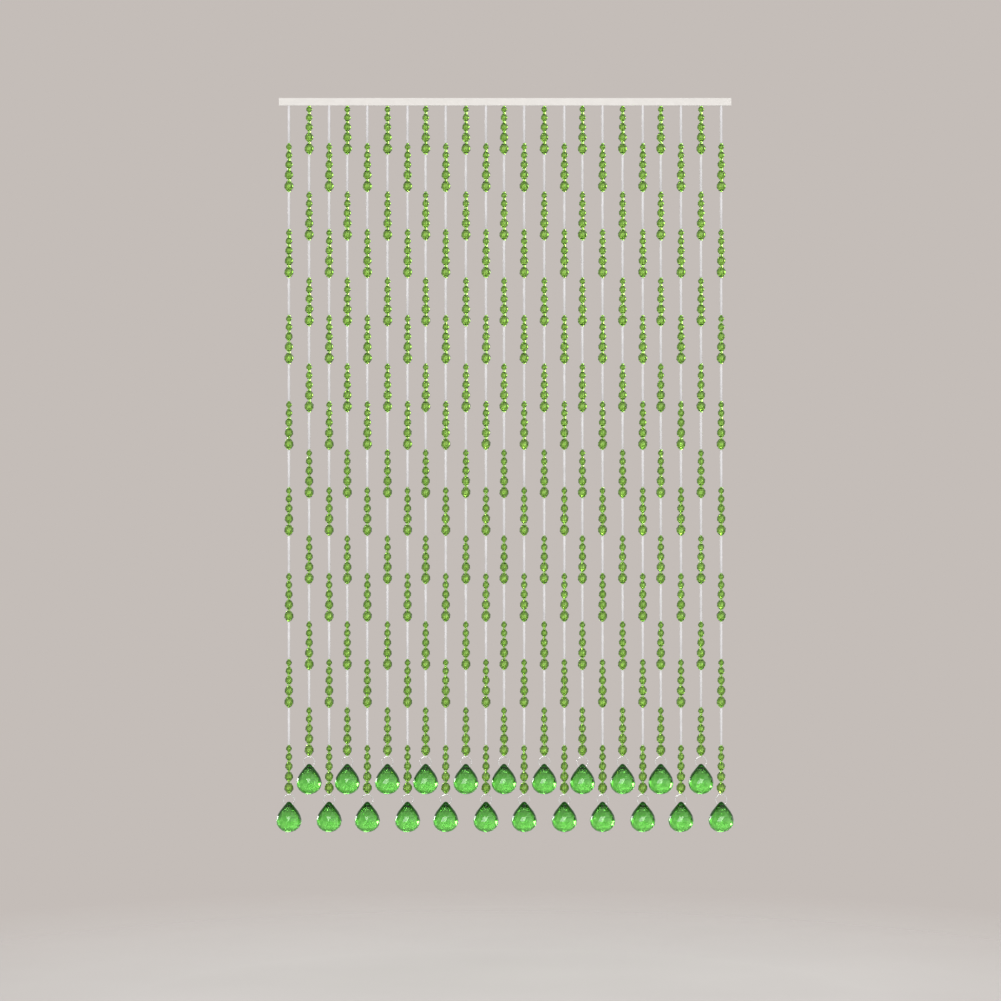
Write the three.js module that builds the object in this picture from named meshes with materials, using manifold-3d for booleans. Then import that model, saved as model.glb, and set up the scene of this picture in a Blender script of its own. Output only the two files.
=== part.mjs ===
// A bead curtain for a doorway: strands of faceted beads and white tubes hang from a heading of two tapes,
// and each strand ends in a ring with a large faceted drop.
// Millimetres, +Z up, the curtain hangs in the XZ plane and is seen from -Y.
// The origin is the middle of the heading's top edge.
import * as THREE from 'three';
import { mergeVertices } from 'three/addons/utils/BufferGeometryUtils.js';
import Module from 'manifold-3d';

const wasm = await Module();
wasm.setup();

// Heading: two narrow tapes back to back, the front one for the long strands and the back one for the short ones.
const tape = { width: 900, height: 15, thickness: 3 };
const pieceGap = 0.3;

// Strands, spread over the width: the third space of every four is narrower.
const strandCount = 23;
const wideSpace = 40;
const narrowSpace = 36;
const spacesInRepeat = 4;
const narrowInRepeat = 2;

// Bead groups down a strand, with a white tube between two groups.
const groupCount = 8;
const groupPitch = 171;
const firstTubeOfLongStrand = 75;
const tubeWidth = 5;
const beads = [
  { width: 12, length: 14.5 },
  { width: 13.5, length: 18 },
  { width: 15, length: 19.5 },
  { width: 17, length: 21.5 },
  { width: 18.5, length: 23.5 },
];

// A strand's section is a triangle. Its corners stand out so that it is as wide as the round piece it stands for.
const strandSides = 3;
const cornerShare = 2 / Math.sqrt(3);

// The cord's end loop round the top of the ring.
const loop = { thickness: 1.4, side: 1.15, inBead: 0.6 };

// The ring, which carries the drop.
const ring = { midRadius: 11, wire: 1.5, wireSides: 3, steps: 10 };

// The drop: an eight-sided lathe form. Depths are measured down from its tip.
const dropBelowBead = 15.5;
const dropSides = 8;
const dropOutline = [
  { depth: 0, radius: 0 },
  { depth: 13, radius: 13 },
  { depth: 26, radius: 22 },
  { depth: 37, radius: 25.5 },
  { depth: 50, radius: 20.5 },
  { depth: 60, radius: 9 },
  { depth: 60, radius: 0 },
];
const dropHole = { depth: 7.3, radius: 2.5, sides: 6 };
const ringAboveTip = 3;

const colours = {
  green: { color: 0x4fae2c, roughness: 0.12, metalness: 0 },
  wire: { color: 0xdadade, roughness: 0.25, metalness: 1 },
};

const finish = (name) => new THREE.MeshStandardMaterial(colours[name]);

// A closed geometry as a solid that can be joined and cut.
function solidOf(geometry) {
  const bare = geometry.clone();
  bare.deleteAttribute('normal');
  bare.deleteAttribute('uv');
  const merged = mergeVertices(bare, 1e-4);
  return new wasm.Manifold(new wasm.Mesh({
    numProp: 3,
    vertProperties: new Float32Array(merged.attributes.position.array),
    triVerts: new Uint32Array(merged.index.array),
  }));
}

// A solid as a named mesh.
function meshOf(solid, name, material) {
  const { vertProperties, triVerts } = solid.getMesh();
  const geometry = new THREE.BufferGeometry();
  geometry.setAttribute('position', new THREE.BufferAttribute(vertProperties, 3));
  geometry.setIndex(new THREE.BufferAttribute(triVerts, 1));
  geometry.computeVertexNormals();
  const mesh = new THREE.Mesh(geometry, material);
  mesh.name = name;
  return mesh;
}

// A form turned round a vertical axis from an outline that runs from its foot to its top.
// With no turn, one corner points to the front.
function turned(outline, sides, turn = 0) {
  const points = outline.map(({ radius, z }) => new THREE.Vector2(radius, z));
  return new THREE.LatheGeometry(points, sides, turn).rotateX(Math.PI / 2);
}

// Where the strands hang. The outermost ones are long, and long and short ones take turns.
function strandPlaces() {
  const places = [];
  let x = 0;
  for (let i = 0; i < strandCount; i++) {
    places.push({ number: i + 1, x, long: i % 2 === 0 });
    x += i % spacesInRepeat === narrowInRepeat ? narrowSpace : wideSpace;
  }
  const middle = places.at(-1).x / 2;
  const fromMiddle = (pieceGap + tape.thickness) / 2;
  return places.map((place) => ({
    ...place,
    x: place.x - middle,
    y: place.long ? -fromMiddle : fromMiddle,
  }));
}

// The heights at which a strand's bead groups start, under the tape.
function groupTops(long) {
  const first = -tape.height - (long ? firstTubeOfLongStrand : 0);
  return Array.from({ length: groupCount }, (_, i) => first - i * groupPitch);
}

const groupLength = beads.reduce((sum, bead) => sum + bead.length, 0);
const strandFoot = (long) => groupTops(long).at(-1) - groupLength;

// The strand's outline, from its foot up: a ring at each end of every bead and one at its waist.
function strandOutline(long) {
  const tube = (tubeWidth / 2) * cornerShare;
  const rings = [
    { radius: 0, z: -tape.height },
    { radius: tube, z: -tape.height },
  ];
  groupTops(long).forEach((top, index) => {
    let z = top;
    if (long || index > 0) rings.push({ radius: tube, z });
    for (const bead of beads) {
      rings.push({ radius: (bead.width / 2) * cornerShare, z: z - bead.length / 2 });
      z -= bead.length;
      rings.push({ radius: tube, z });
    }
  });
  rings.push({ radius: 0, z: strandFoot(long) });
  return rings.reverse();
}

// The loop under the last bead, with its window round the ring's wire.
function endLoop(foot) {
  const wireTop = foot - dropBelowBead + ringAboveTip + ring.midRadius;
  const half = ring.wire / 2 + pieceGap;
  const top = foot + loop.inBead;
  const bottom = wireTop - half - loop.side;
  const block = new THREE.BoxGeometry(loop.thickness, 2 * (half + loop.side), top - bottom);
  block.translate(0, 0, (top + bottom) / 2);
  const window = new THREE.BoxGeometry(2 * loop.thickness, 2 * half, 2 * half);
  window.translate(0, 0, wireTop);
  return solidOf(block).subtract(solidOf(window));
}

// A heading tape with all the strands that hang from it, in one solid.
function strandsOnTape(places, long) {
  const { y } = places[0];
  const band = new THREE.BoxGeometry(tape.width, tape.thickness, tape.height);
  band.translate(0, y, -tape.height / 2);
  const turn = long ? 0 : Math.PI;
  const strand = solidOf(turned(strandOutline(long), strandSides, turn)).add(endLoop(strandFoot(long)));
  return places.reduce((solid, place) => solid.add(strand.translate([place.x, y, 0])), solidOf(band));
}

function wireRing() {
  const torus = new THREE.TorusGeometry(ring.midRadius, ring.wire / 2, ring.wireSides, ring.steps);
  return solidOf(torus.rotateZ(Math.PI / 2).rotateX(Math.PI / 2));
}

// The drop, with its tip at the origin and a hole from side to side through the tip.
function drop() {
  const outline = dropOutline.map(({ depth, radius }) => ({ radius, z: -depth })).reverse();
  const widest = Math.max(...dropOutline.map(({ radius }) => radius));
  const hole = new THREE.CylinderGeometry(dropHole.radius, dropHole.radius, 2 * widest, dropHole.sides);
  hole.rotateZ(Math.PI / 2).translate(0, 0, -dropHole.depth);
  return solidOf(turned(outline, dropSides)).subtract(solidOf(hole));
}

const curtain = new THREE.Group();
const places = strandPlaces();
const longPlaces = places.filter(({ long }) => long);
const shortPlaces = places.filter(({ long }) => !long);
curtain.add(
  meshOf(strandsOnTape(longPlaces, true), 'long_strands', finish('green')),
  meshOf(strandsOnTape(shortPlaces, false), 'short_strands', finish('green')),
);

const ringSolid = wireRing();
const dropSolid = drop();
for (const { number, x, y, long } of places) {
  const tip = strandFoot(long) - dropBelowBead;
  const label = String(number).padStart(2, '0');
  const ringMesh = meshOf(ringSolid, `ring_${label}`, finish('wire'));
  ringMesh.position.set(x, y, tip + ringAboveTip);
  const dropMesh = meshOf(dropSolid, `drop_${label}`, finish('green'));
  dropMesh.position.set(x, y, tip);
  curtain.add(ringMesh, dropMesh);
}

export default curtain;
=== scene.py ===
import math
import random

import bpy
from mathutils import Matrix, Vector


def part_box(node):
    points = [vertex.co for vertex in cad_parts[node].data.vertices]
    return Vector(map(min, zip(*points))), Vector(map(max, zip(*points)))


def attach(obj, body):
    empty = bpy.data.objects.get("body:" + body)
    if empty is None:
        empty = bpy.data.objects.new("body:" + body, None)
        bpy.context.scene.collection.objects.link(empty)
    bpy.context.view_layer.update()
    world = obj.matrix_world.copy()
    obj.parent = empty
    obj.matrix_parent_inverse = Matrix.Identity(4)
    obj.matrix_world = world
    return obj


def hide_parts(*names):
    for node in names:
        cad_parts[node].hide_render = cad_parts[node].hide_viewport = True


MM = 0.001
SEED = 11
STRAND_COUNT = 23

# The beads of a group, from the top: width and room on the cord, in mm.
BEADS = (
    {"width": 12, "room": 14.5},
    {"width": 13.5, "room": 18},
    {"width": 15, "room": 19.5},
    {"width": 17, "room": 21.5},
    {"width": 18.5, "room": 23.5},
)
GROUP_COUNT = 8
GROUP_PITCH = 171 * MM
GROUP_LENGTH = sum(row["room"] for row in BEADS) * MM
BEAD_GAP = 0.4 * MM
BEAD_SIDES = 8
BEAD_NECK = {"radius": 2.9 * MM, "length": 1.9 * MM}
BEAD_BORE = 1 * MM

# How far every bead is turned on its cord, and how far at most it is turned besides, by chance.
BEAD_TURN = math.radians(-11.25)
BEAD_TWIST = math.radians(7)

# The rings of a bead's cut body, from its lower end up, as shares of its length and of its width.
BEAD_RINGS = (
    {"up": 0.0, "across": 0.52},
    {"up": 0.33, "across": 1.0},
    {"up": 0.67, "across": 1.0},
    {"up": 1.0, "across": 0.52},
)

TUBE_WIDTH = 5 * MM
TUBE_BORE = 2.4 * MM
TUBE_SIDES = 24
TUBE_END_GAP = 0.4 * MM
TUBE_RIM = {"width": 0.25 * MM, "segments": 2, "edges_over": math.radians(60)}
TUBE_SMOOTH_UNDER = math.radians(40)

# A cord, and the loop at its foot, whose thickness is a share of the cord's.
CORD_WIDTH = 0.8 * MM
CORD_SIDES = 8
CORD_IN_TAPE = 2 * MM
CORD_LOOP = {"radius": 2.2 * MM, "thickness_share": 0.8, "segments": 24}
CORD_SMOOTH_UNDER = math.radians(50)

# A boring tool is this many times as long as the piece, so that it runs past both ends.
PAST_BOTH_ENDS = 3

# The drop's rings of points, from its foot up: depth under the tip and radius, in mm.
DROP_SIDES = 16
DROP_RINGS = (
    {"depth": 60, "radius": 7.5},
    {"depth": 57.5, "radius": 14},
    {"depth": 52, "radius": 20.6},
    {"depth": 45.5, "radius": 24.2},
    {"depth": 37.5, "radius": 25.4},
    {"depth": 28, "radius": 23.4},
    {"depth": 19.5, "radius": 18.7},
    {"depth": 12, "radius": 12.8},
    {"depth": 5, "radius": 7.0},
    {"depth": 1, "radius": 3.2},
)
DROP_HOLE = {"depth": 7.3 * MM, "radius": 2.2 * MM, "sides": 16, "tool_length": 80 * MM}

RING_MID_RADIUS = 11 * MM
RING_WIRE = 1.5 * MM
RING_SEGMENTS = {"round": 48, "wire": 10}
RING_ABOVE_TIP = 3 * MM
BEAD_ABOVE_TIP = 15.5 * MM

TAPE = {"width": 900 * MM, "height": 15 * MM, "thickness": 1.6 * MM, "parts_along": 180, "parts_up": 4}
TAPE_FOOT = -TAPE["height"]

# The clear pieces' colours: the dark green of their painted shade, and their darkest and their brightest
# facet.
BEAD_GREENS = {"shade_paint": (0.02, 0.06, 0.005), "dark": (0.26, 0.57, 0.055), "bright": (0.53, 0.93, 0.16)}
DROP_GREENS = {"shade_paint": (0.010, 0.065, 0.006), "dark": (0.10, 0.58, 0.05), "bright": (0.30, 1.0, 0.18)}
ACRYLIC_IOR = 1.49

# The mesh attributes that the clear finishes read: a facet's depth of colour, painted light and dark that
# stands in for internal reflections, and a point's place, which says where painted shade falls.
PAINTED_FACET_LIGHT = "facet"
PLACE = "place"

# Where painted shade darkens the clear pieces, at edges seen edge-on and at a drop's tip and rims, standing
# in for the dark surroundings that cut acrylic reflects there. Each row takes a stretch of how far a facet is
# seen edge-on, a stretch of the piece's own measure (a bead's nearness to its waist, a drop's leaning height)
# and how dark it gets.
# Every share lies past the stretch of ALL_OVER.
ALL_OVER = (-1.0, -0.5)
BEAD_SHADE = (
    {"edge": (0.02, 0.25), "place": (0.5, 0.72), "depth": 0.6},  # sides
    {"edge": (0.6, 0.8), "place": ALL_OVER, "depth": 0.3},  # rim
)
DROP_SHADE = (
    {"edge": (0.28, 0.46), "place": (0.37, 0.47), "depth": 0.95},  # upper sides
    {"edge": ALL_OVER, "place": (0.925, 0.94), "depth": 0.6},  # cap
    {"edge": ALL_OVER, "place": (0.66, 0.78), "depth": 0.2},  # collar
    {"edge": (0.32, 0.60), "place": (0.38, 0.28), "depth": 0.5},  # lower rim
)

# How much lower the painted shade of a drop sits on its +X side, away from the key lamp, than in its middle,
# as a share of its height.
DROP_LEAN = 0.04

# The photograph's side in pixels, its scale at the curtain, and its pixel of the middle of the tapes' foot.
PHOTO_SIDE = 1001
METRES_PER_PIXEL = 1.99 * MM
MIDDLE_PIXEL = {"x": 505.05, "z": 105.7}
CAMERA_DISTANCE = 6.5
SENSOR_WIDTH = 36

FLOOR_HEIGHT = -1.80
FLOOR_RADIUS = 1.9
FLOOR_SIDES = 96
FLOOR_SOLID_SHARE = 0.4

# The studio's light by height, from straight down (0) to straight up (1): place and brightness.
SKY = (
    {"up": 0.0, "light": 0.06},
    {"up": 0.15, "light": 0.17},
    {"up": 0.27, "light": 0.51},
    {"up": 0.40, "light": 0.66},
    {"up": 0.55, "light": 0.74},
    {"up": 0.75, "light": 0.66},
    {"up": 1.0, "light": 0.60},
)
SKY_TINT = (1, 0.97, 0.95)
BACKGROUND = (0.552, 0.508, 0.48)

# Distant soft lamps: where each stands, how wide it looks in degrees, and its power.
LAMPS = (
    {"name": "key", "from": (-0.19, -0.89, 0.41), "spread": 34, "power": 1.6},
    {"name": "right_front", "from": (0.65, -0.70, 0.30), "spread": 60, "power": 0.6},
    {"name": "left_back", "from": (-0.70, 0.70, 0.12), "spread": 12, "power": 0.36},
    {"name": "high_back", "from": (0.10, 0.60, 0.79), "spread": 20, "power": 1.3},
    {"name": "right_back", "from": (0.80, 0.58, 0.05), "spread": 28, "power": 0.15},
)

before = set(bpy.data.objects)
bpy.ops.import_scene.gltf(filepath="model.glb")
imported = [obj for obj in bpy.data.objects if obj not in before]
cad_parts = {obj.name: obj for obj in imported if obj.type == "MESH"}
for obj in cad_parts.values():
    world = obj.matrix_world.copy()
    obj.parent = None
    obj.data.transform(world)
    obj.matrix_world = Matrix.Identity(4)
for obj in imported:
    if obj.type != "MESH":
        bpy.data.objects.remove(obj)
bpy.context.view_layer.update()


def drop_name(number):
    return f"drop_{number:02d}"


def is_long(number):
    return number % 2 == 1


def strands_node(number):
    return "long_strands" if is_long(number) else "short_strands"


def place_of(number):
    """The middle of a strand and the height of its drop's tip."""
    low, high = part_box(drop_name(number))
    return Vector(((low.x + high.x) / 2, (low.y + high.y) / 2, high.z))


# Modelling helpers

def deselect_all():
    bpy.ops.object.select_all(action="DESELECT")


def pick(obj):
    deselect_all()
    obj.select_set(True)
    bpy.context.view_layer.objects.active = obj


def edit(obj):
    pick(obj)
    bpy.ops.object.mode_set(mode="EDIT")


def leave_edit():
    bpy.ops.object.mode_set(mode="OBJECT")


def rename(obj, name):
    obj.name = name
    obj.data.name = name
    return obj


def named(name):
    """The piece that was just made, under its name."""
    return rename(bpy.context.active_object, name)


def settle(obj):
    """The object's place goes into its mesh."""
    obj.data.transform(obj.matrix_basis)
    obj.matrix_basis = Matrix.Identity(4)
    return obj


def copy_of(obj, matrix):
    """A copy with its own mesh, moved by the matrix in its mesh."""
    twin = obj.copy()
    twin.data = obj.data.copy()
    twin.data.transform(matrix)
    bpy.context.scene.collection.objects.link(twin)
    return twin


def join(parts, name):
    deselect_all()
    for part in parts:
        part.select_set(True)
    bpy.context.view_layer.objects.active = parts[0]
    bpy.ops.object.join()
    return named(name)


def remove(obj):
    bpy.data.objects.remove(obj)


def apply_modifiers(obj):
    pick(obj)
    for modifier in list(obj.modifiers):
        bpy.ops.object.modifier_apply(modifier=modifier.name)


def dress(obj, slot, material, *nodes):
    """The piece gets its finish, rides on the frame and stands for its nodes."""
    obj.data.materials.clear()
    obj.data.materials.append(material)
    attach(obj, "root")
    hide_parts(*nodes)


# Materials

class Value:
    """A socket in a formula: each operator adds the Math node it stands for."""

    def __init__(self, nodes, socket):
        self.nodes = nodes
        self.socket = socket

    def math(self, operation, other):
        return self.nodes.add("ShaderNodeMath", {"operation": operation}, {0: self, 1: other}).value()

    def __add__(self, other):
        return self.math("ADD", other)

    def __radd__(self, other):
        return self.math("ADD", other)

    def __mul__(self, other):
        return self.math("MULTIPLY", other)

    def __rmul__(self, other):
        return self.math("MULTIPLY", other)


class Made:
    """A node that was added, for its output sockets."""

    def __init__(self, nodes, node):
        self.nodes = nodes
        self.node = node

    def value(self, output=0):
        return Value(self.nodes, self.node.outputs[output])


class Finish:
    """A material's nodes."""

    def __init__(self, name):
        self.material = bpy.data.materials.new(name)
        self.material.use_nodes = True
        self.tree = self.material.node_tree
        self.shader = self.tree.nodes["Principled BSDF"]

    def put(self, socket, item):
        if isinstance(item, Value):
            self.tree.links.new(item.socket, socket)
        else:
            socket.default_value = item

    def add(self, kind, settings=None, sockets=None):
        node = self.tree.nodes.new(kind)
        for key, setting in (settings or {}).items():
            setattr(node, key, setting)
        for key, item in (sockets or {}).items():
            self.put(node.inputs[key], item)
        return Made(self, node)

    def surface(self, **sockets):
        for key, item in sockets.items():
            self.put(self.shader.inputs[key.replace("_", " ")], item)
        return self.material

    def cover(self, made):
        """The made shader becomes the material's surface."""
        self.tree.links.new(made.node.outputs[0], self.tree.nodes["Material Output"].inputs["Surface"])
        return self.material

    def place(self, scale=(1, 1, 1)):
        """The point on the object, in metres, times the scale."""
        where = self.add("ShaderNodeTexCoord").value("Object")
        return self.add("ShaderNodeMapping", None, {"Vector": where, "Scale": scale}).value()

    def noise(self, where, scale, detail):
        return self.add("ShaderNodeTexNoise", None, {
            "Vector": where, "Scale": scale, "Detail": detail,
        }).value("Fac")

    def between(self, low, high, share):
        """A colour between two, by a share. A Mix node's colours are its inputs 6 and 7 and its output 2."""
        return self.add("ShaderNodeMix", {"data_type": "RGBA"}, {
            0: share, 6: (*low, 1), 7: (*high, 1),
        }).value(2)

    def steps(self, share, low, high):
        """A share stretched so that low gives 0 and high gives 1."""
        return self.add("ShaderNodeMapRange", None, {0: share, 1: low, 2: high}).value()

    def relief(self, height, depth, strength):
        return self.add("ShaderNodeBump", None, {
            "Height": height, "Distance": depth, "Strength": strength,
        }).value()


def clear_green(name, greens, shade):
    """Clear coloured acrylic with faint rub marks in its polish. Each facet has its own random depth of
    colour, painted light and dark for internal reflections, and painted shade turns it dark green where its
    shade's rows say."""
    finish = Finish(name)
    rubs = finish.noise(finish.place((1, 1, 3)), scale=900, detail=3.0)
    # Painted light and dark: each facet's random depth of colour stands in for the glints of internal
    # reflections.
    facet = finish.add("ShaderNodeAttribute", {"attribute_name": PAINTED_FACET_LIGHT}).value("Fac")
    where = finish.add("ShaderNodeAttribute", {"attribute_name": PLACE}).value("Fac")
    edge_on = finish.add("ShaderNodeLayerWeight", None, {"Blend": 0.5}).value("Facing")
    finish.surface(
        Base_Color=finish.between(greens["dark"], greens["bright"], facet),
        Roughness=0.015 + 0.05 * finish.steps(rubs, 0.5, 0.8),
        Transmission_Weight=1.0,
        IOR=ACRYLIC_IOR,
    )
    # Painted shade: a dark green, barely glossy shader mixed over the clear acrylic, standing in for dark
    # surroundings reflected at edges, tip and rims.
    painted_shade = finish.add("ShaderNodeBsdfPrincipled", None, {
        "Base Color": (*greens["shade_paint"], 1), "Roughness": 0.06, "Specular IOR Level": 0.1,
    })
    share = sum(
        row["depth"] * finish.steps(edge_on, *row["edge"]) * finish.steps(where, *row["place"])
        for row in shade
    )
    clear = Value(finish, finish.shader.outputs[0])
    return finish.cover(finish.add("ShaderNodeMixShader", None, {0: share, 1: clear, 2: painted_shade.value()}))


def white_tube():
    """White plastic tube, with fine drawing lines along it."""
    finish = Finish("white_tube")
    lines = finish.noise(finish.place((1, 1, 0.02)), scale=1800, detail=2.0)
    cloud = finish.noise(finish.place(), scale=60, detail=2.0)
    return finish.surface(
        Base_Color=finish.between((0.59, 0.58, 0.59), (0.68, 0.67, 0.69), finish.steps(cloud, 0.3, 0.7)),
        Roughness=0.3 + 0.15 * lines,
        Normal=finish.relief(lines, depth=0.05 * MM, strength=0.4),
    )


def white_cord():
    """Thin cord, its yarns laid round it."""
    finish = Finish("white_cord")
    twist = finish.add("ShaderNodeTexWave", {"wave_type": "BANDS", "bands_direction": "DIAGONAL"}, {
        "Vector": finish.place(), "Scale": 260.0, "Distortion": 0.6, "Detail": 1.0,
    }).value("Fac")
    return finish.surface(
        Base_Color=finish.between((0.62, 0.61, 0.60), (0.86, 0.85, 0.84), twist),
        Roughness=0.75,
        Normal=finish.relief(twist, depth=0.1 * MM, strength=0.7),
    )


def woven_tape():
    """Plain woven tape: warp and weft threads over and under each other."""
    finish = Finish("woven_tape")
    where = finish.place()
    threads = [
        finish.add("ShaderNodeTexWave", {"wave_type": "BANDS", "bands_direction": direction}, {
            "Vector": where, "Scale": scale, "Distortion": 0.8, "Detail": 1.0, "Detail Scale": 2.0,
        }).value("Fac")
        for direction, scale in (("X", 220.0), ("Z", 320.0))
    ]
    weave = threads[0] * threads[1]
    cloud = finish.noise(where, scale=45, detail=3.0)
    return finish.surface(
        Base_Color=finish.between((0.66, 0.64, 0.61), (0.87, 0.85, 0.82), 0.6 * weave + 0.4 * cloud),
        Roughness=0.85,
        Normal=finish.relief(weave, depth=0.25 * MM, strength=0.8),
    )


def plated_wire():
    """Bright plated wire with fine drawing scratches."""
    finish = Finish("plated_wire")
    scratches = finish.noise(finish.place(), scale=700, detail=4.0)
    return finish.surface(
        Base_Color=finish.between((0.70, 0.70, 0.71), (0.90, 0.90, 0.91), finish.steps(scratches, 0.3, 0.7)),
        Metallic=1.0,
        Roughness=0.12 + 0.2 * finish.steps(scratches, 0.45, 0.75),
    )


# Pieces

def faceted(name, rings, sides):
    """A closed faceted form. It starts as a disc at its foot and is drawn up ring by ring.
    Each ring is turned by half a step, so that the facets between two rings are triangles."""
    foot, foot_radius = rings[0]
    bpy.ops.mesh.primitive_circle_add(
        vertices=sides, radius=foot_radius, fill_type="NGON", location=(0, 0, foot),
    )
    obj = settle(named(name))
    edit(obj)
    bpy.ops.mesh.select_all(action="SELECT")
    half_step = math.pi / sides
    for (low, narrow), (high, wide) in zip(rings, rings[1:]):
        bpy.ops.mesh.extrude_region_move(TRANSFORM_OT_translate={"value": (0, 0, high - low)})
        bpy.ops.transform.resize(value=(wide / narrow, wide / narrow, 1), center_override=(0, 0, high))
        bpy.ops.transform.rotate(value=half_step, orient_axis="Z", center_override=(0, 0, high))
    leave_edit()
    return obj


def mark_facets(obj, place):
    """Each facet gets a depth of colour by chance, painted light and dark that stands in for the glints of
    internal reflections, and each point its place by its height, from 0 at the foot to 1 at the top, and by
    how far aside it is, from -1 to 1."""
    chance = random.Random(SEED)
    depths = obj.data.attributes.new(PAINTED_FACET_LIGHT, "FLOAT", "FACE")
    depths.data.foreach_set("value", [chance.random() for _ in obj.data.polygons])
    points = [vertex.co for vertex in obj.data.vertices]
    low, high = min(point.z for point in points), max(point.z for point in points)
    widest = max(point.x for point in points)
    places = obj.data.attributes.new(PLACE, "FLOAT", "POINT")
    places.data.foreach_set("value", [
        place((point.z - low) / (high - low), point.x / widest) for point in points
    ])
    return obj


def triangle_facets(obj):
    edit(obj)
    bpy.ops.mesh.select_all(action="SELECT")
    bpy.ops.mesh.quads_convert_to_tris(quad_method="SHORTEST_DIAGONAL", ngon_method="BEAUTY")
    bpy.ops.mesh.normals_make_consistent(inside=False)
    leave_edit()
    return obj


def cut(obj, tool):
    modifier = obj.modifiers.new("cut", "BOOLEAN")
    modifier.operation = "DIFFERENCE"
    modifier.solver = "EXACT"
    modifier.object = tool
    apply_modifiers(obj)
    remove(tool)
    return obj


def bore_tool(length, radius, sides):
    """A cylinder up through a piece of this length, for a hole from end to end."""
    bpy.ops.mesh.primitive_cylinder_add(
        vertices=sides, radius=radius, depth=PAST_BOTH_ENDS * length, location=(0, 0, length / 2),
    )
    return settle(named("bore"))


def nearness_to_waist(rise, aside):
    return 1 - abs(2 * rise - 1)


# A drop's height for its painted shade, leaning lower on its +X side, away from the key lamp.
def leaning_height(rise, aside):
    return rise + DROP_LEAN * aside


def bead(width, room):
    """A faceted bead with its foot at z 0, a short neck at each end and its bore along Z."""
    length = room - BEAD_GAP
    neck = BEAD_NECK["length"]
    cut_length = length - 2 * neck
    rings = [(neck + ring["up"] * cut_length, ring["across"] * width / 2) for ring in BEAD_RINGS]
    rings = [(0, BEAD_NECK["radius"]), (neck, BEAD_NECK["radius"]), *rings]
    rings += [(length - neck, BEAD_NECK["radius"]), (length, BEAD_NECK["radius"])]
    body = triangle_facets(faceted("bead", rings, BEAD_SIDES))
    return mark_facets(cut(body, bore_tool(length, BEAD_BORE / 2, BEAD_SIDES)), nearness_to_waist)


def drop():
    """The drop, with its tip at the origin and a hole from side to side under the tip."""
    rings = [(-ring["depth"] * MM, ring["radius"] * MM) for ring in DROP_RINGS]
    body = faceted("drop", rings, DROP_SIDES)
    edit(body)
    bpy.ops.mesh.extrude_region_move(TRANSFORM_OT_translate={"value": (0, 0, -rings[-1][0])})
    bpy.ops.mesh.merge(type="CENTER")
    leave_edit()
    body = triangle_facets(body)
    bpy.ops.mesh.primitive_cylinder_add(
        vertices=DROP_HOLE["sides"], radius=DROP_HOLE["radius"], depth=DROP_HOLE["tool_length"],
        location=(0, 0, -DROP_HOLE["depth"]), rotation=(0, math.pi / 2, 0),
    )
    return mark_facets(cut(body, settle(named("hole"))), leaning_height)


def tube(length):
    """A tube with its foot at z 0: a cylinder that is bored through, with softened rims."""
    bpy.ops.mesh.primitive_cylinder_add(
        vertices=TUBE_SIDES, radius=TUBE_WIDTH / 2, depth=length, location=(0, 0, length / 2),
    )
    body = settle(named("tube"))
    body = cut(body, bore_tool(length, TUBE_BORE / 2, TUBE_SIDES))
    bevel = body.modifiers.new("rim", "BEVEL")
    bevel.width = TUBE_RIM["width"]
    bevel.segments = TUBE_RIM["segments"]
    bevel.angle_limit = TUBE_RIM["edges_over"]
    apply_modifiers(body)
    bpy.ops.object.shade_smooth_by_angle(angle=TUBE_SMOOTH_UNDER)
    return body


def wire_ring():
    """The ring, face on, with its middle at the origin."""
    bpy.ops.mesh.primitive_torus_add(
        major_radius=RING_MID_RADIUS, minor_radius=RING_WIRE / 2,
        major_segments=RING_SEGMENTS["round"], minor_segments=RING_SEGMENTS["wire"],
        rotation=(math.pi / 2, 0, 0),
    )
    ring = settle(named("ring"))
    bpy.ops.object.shade_smooth()
    return ring


def cord(length):
    """The strand's cord from its foot at z 0 up, with the loop under its foot that holds the ring."""
    bpy.ops.mesh.primitive_cylinder_add(
        vertices=CORD_SIDES, radius=CORD_WIDTH / 2, depth=length, location=(0, 0, length / 2),
    )
    stem = settle(named("stem"))
    bpy.ops.mesh.primitive_torus_add(
        major_radius=CORD_LOOP["radius"], minor_radius=CORD_WIDTH / 2 * CORD_LOOP["thickness_share"],
        major_segments=CORD_LOOP["segments"], minor_segments=CORD_SIDES,
        location=(0, 0, -CORD_LOOP["radius"]), rotation=(0, math.pi / 2, 0),
    )
    eye = settle(named("eye"))
    made = join([stem, eye], "cord")
    bpy.ops.object.shade_smooth_by_angle(angle=CORD_SMOOTH_UNDER)
    return made


def group_tops(tip):
    """The tops of the bead groups over a drop's tip, from the lowest."""
    foot = tip + BEAD_ABOVE_TIP
    return [foot + GROUP_LENGTH + GROUP_PITCH * count for count in range(GROUP_COUNT)]


def string_beads(number, models, material):
    """All the beads of a strand, each turned its own way on the cord."""
    turns = random.Random(SEED + number)
    middle = place_of(number)
    parts = []
    for top in group_tops(middle.z):
        z = top
        for row, model in zip(BEADS, models):
            z -= row["room"] * MM
            turn = Matrix.Rotation(BEAD_TURN + turns.uniform(-BEAD_TWIST, BEAD_TWIST), 4, "Z")
            parts.append(copy_of(model, Matrix.Translation((middle.x, middle.y, z + BEAD_GAP / 2)) @ turn))
    dress(join(parts, f"beads_{number:02d}"), "bead_green", material, strands_node(number))


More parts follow.
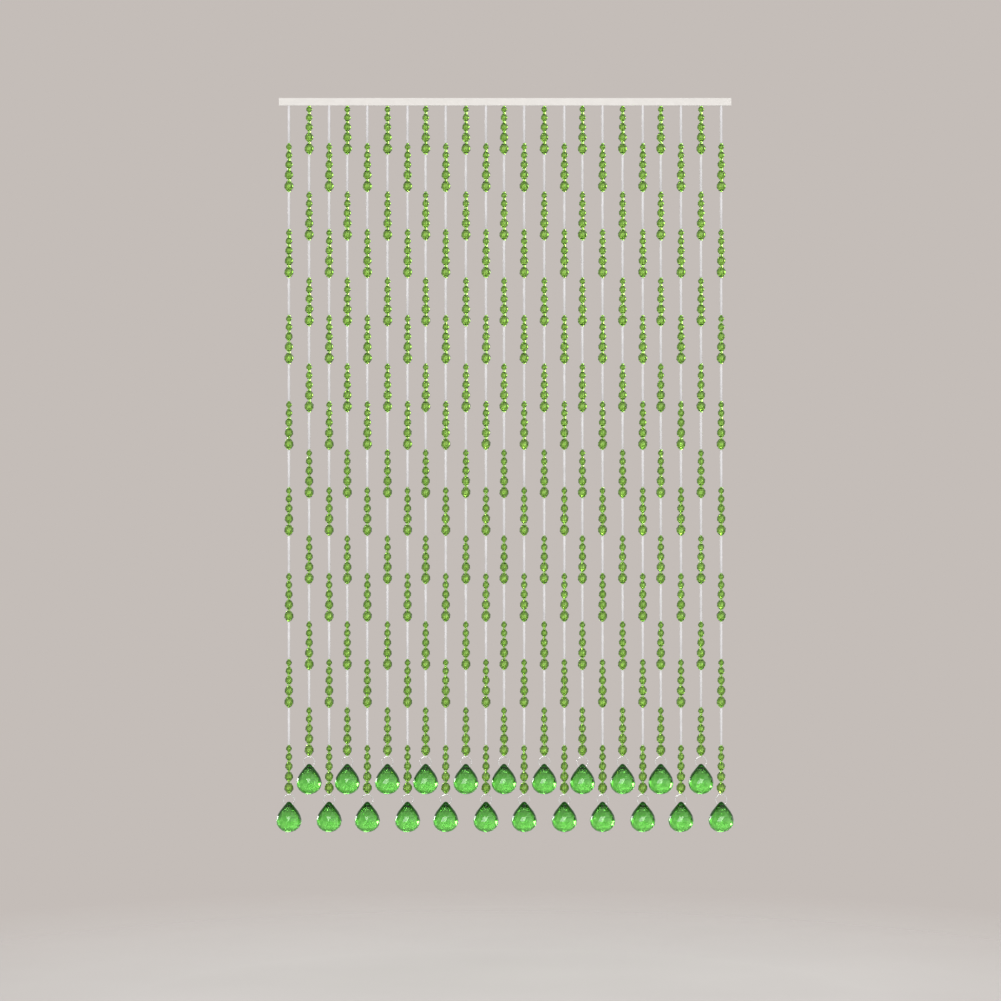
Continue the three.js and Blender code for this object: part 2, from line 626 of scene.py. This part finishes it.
def string_tubes(number, model, model_length, material):
    """The tubes between a strand's bead groups, and over the top group of a long strand."""
    middle = place_of(number)
    tops = group_tops(middle.z)
    spans = [(low, high - GROUP_LENGTH) for low, high in zip(tops, tops[1:])]
    if is_long(number):
        spans.append((tops[-1], TAPE_FOOT))
    parts = []
    for low, high in spans:
        length = high - low - 2 * TUBE_END_GAP
        stretch = Matrix.Diagonal((1, 1, length / model_length, 1))
        parts.append(copy_of(model, Matrix.Translation((middle.x, middle.y, low + TUBE_END_GAP)) @ stretch))
    dress(join(parts, f"tubes_{number:02d}"), "tube_white", material, strands_node(number))


def hang_cord(number, material):
    middle = place_of(number)
    foot = middle.z + BEAD_ABOVE_TIP
    made = cord(TAPE_FOOT - foot + CORD_IN_TAPE)
    made.data.transform(Matrix.Translation((middle.x, middle.y, foot)))
    dress(rename(made, f"cord_{number:02d}"), "cord_white", material, strands_node(number))


def hang_drop(number, model, material):
    made = copy_of(model, Matrix.Translation(place_of(number)))
    dress(rename(made, f"cut_{drop_name(number)}"), "drop_green", material, drop_name(number))


def hang_ring(number, model, material):
    made = copy_of(model, Matrix.Translation(place_of(number) + Vector((0, 0, RING_ABOVE_TIP))))
    dress(rename(made, f"wire_ring_{number:02d}"), "ring_wire", material, f"ring_{number:02d}")


def heading_tape(name, y, material, node):
    """A woven tape along the top of its strands."""
    width, height = TAPE["width"], TAPE["height"]
    bpy.ops.mesh.primitive_grid_add(
        x_subdivisions=TAPE["parts_along"], y_subdivisions=TAPE["parts_up"], size=1,
        location=(0, y, TAPE_FOOT / 2), rotation=(math.pi / 2, 0, 0),
    )
    tape = named(name)
    tape.scale = (width, height, 1)
    settle(tape)
    solid = tape.modifiers.new("thickness", "SOLIDIFY")
    solid.thickness = TAPE["thickness"]
    solid.offset = 0
    apply_modifiers(tape)
    dress(tape, "tape_white", material, node)


# The studio

def pale_floor():
    """A round pale floor that fades out towards its rim."""
    finish = Finish("pale_floor")
    across = finish.place((1, 1, 0))
    from_middle = finish.add("ShaderNodeVectorMath", {"operation": "LENGTH"}, {0: across}).value(1)
    cloud = finish.noise(finish.place(), scale=3.0, detail=2.0)
    finish.surface(
        Base_Color=finish.between((0.43, 0.41, 0.395), (0.47, 0.45, 0.435), cloud),
        Roughness=0.6,
        Alpha=finish.steps(from_middle, FLOOR_RADIUS, FLOOR_SOLID_SHARE * FLOOR_RADIUS),
    )
    bpy.ops.mesh.primitive_circle_add(
        vertices=FLOOR_SIDES, radius=FLOOR_RADIUS, fill_type="NGON", location=(0, 0, FLOOR_HEIGHT),
    )
    floor = settle(named("floor"))
    floor.data.materials.append(finish.material)
    floor.visible_transmission = False


def sky(tree):
    """The camera sees a plain pale background. Everything else sees light that is dim from straight below
    and brighter from the sides and above."""
    add, link = tree.nodes.new, tree.links.new
    where = add("ShaderNodeTexCoord")
    parts = add("ShaderNodeSeparateXYZ")
    link(where.outputs["Generated"], parts.inputs[0])
    share = add("ShaderNodeMapRange")
    share.inputs["From Min"].default_value = -1
    link(parts.outputs["Z"], share.inputs["Value"])
    ramp = add("ShaderNodeValToRGB")
    link(share.outputs[0], ramp.inputs[0])
    while len(ramp.color_ramp.elements) < len(SKY):
        ramp.color_ramp.elements.new(0.5)
    for element, row in zip(ramp.color_ramp.elements, SKY):
        element.position = row["up"]
        element.color = (*(row["light"] * tint for tint in SKY_TINT), 1)
    path = add("ShaderNodeLightPath")
    mix = add("ShaderNodeMix")
    mix.data_type = "RGBA"
    mix.inputs[7].default_value = (*BACKGROUND, 1)
    link(path.outputs["Is Camera Ray"], mix.inputs[0])
    link(ramp.outputs[0], mix.inputs[6])
    link(mix.outputs[2], tree.nodes["Background"].inputs["Color"])


def studio():
    world = bpy.data.worlds.new("studio")
    bpy.context.scene.world = world
    world.use_nodes = True
    sky(world.node_tree)
    for row in LAMPS:
        data = bpy.data.lights.new(row["name"], "SUN")
        data.angle = math.radians(row["spread"])
        data.energy = row["power"]
        lamp = bpy.data.objects.new(row["name"], data)
        lamp.rotation_euler = Vector(row["from"]).to_track_quat("Z", "Y").to_euler()
        bpy.context.scene.collection.objects.link(lamp)
    bpy.context.scene.view_settings.view_transform = "Standard"


def camera():
    """A camera straight in front of the point in the photograph's middle, at the photograph's scale."""
    half = PHOTO_SIDE / 2
    x = (half - MIDDLE_PIXEL["x"]) * METRES_PER_PIXEL
    z = TAPE_FOOT - (half - MIDDLE_PIXEL["z"]) * METRES_PER_PIXEL
    data = bpy.data.cameras.new("camera")
    data.sensor_width = SENSOR_WIDTH
    data.lens = SENSOR_WIDTH * CAMERA_DISTANCE / (PHOTO_SIDE * METRES_PER_PIXEL)
    obj = bpy.data.objects.new("camera", data)
    obj.location = (x, -CAMERA_DISTANCE, z)
    obj.rotation_euler = (math.pi / 2, 0, 0)
    bpy.context.scene.collection.objects.link(obj)
    bpy.context.scene.camera = obj


camera()
deselect_all()
bead_finish = clear_green("clear_bead", BEAD_GREENS, BEAD_SHADE)
drop_finish = clear_green("clear_drop", DROP_GREENS, DROP_SHADE)
tube_finish = white_tube()
cord_finish = white_cord()
wire_finish = plated_wire()
tape_finish = woven_tape()

bead_models = [bead(row["width"] * MM, row["room"] * MM) for row in BEADS]
tube_length = GROUP_PITCH - GROUP_LENGTH
tube_model = tube(tube_length)
drop_model = drop()
ring_model = wire_ring()
for number in range(1, STRAND_COUNT + 1):
    string_beads(number, bead_models, bead_finish)
    string_tubes(number, tube_model, tube_length, tube_finish)
    hang_cord(number, cord_finish)
    hang_drop(number, drop_model, drop_finish)
    hang_ring(number, ring_model, wire_finish)
for model in (*bead_models, tube_model, drop_model, ring_model):
    remove(model)
heading_tape("front_tape", place_of(1).y, tape_finish, "long_strands")
heading_tape("back_tape", place_of(2).y, tape_finish, "short_strands")
pale_floor()
studio()
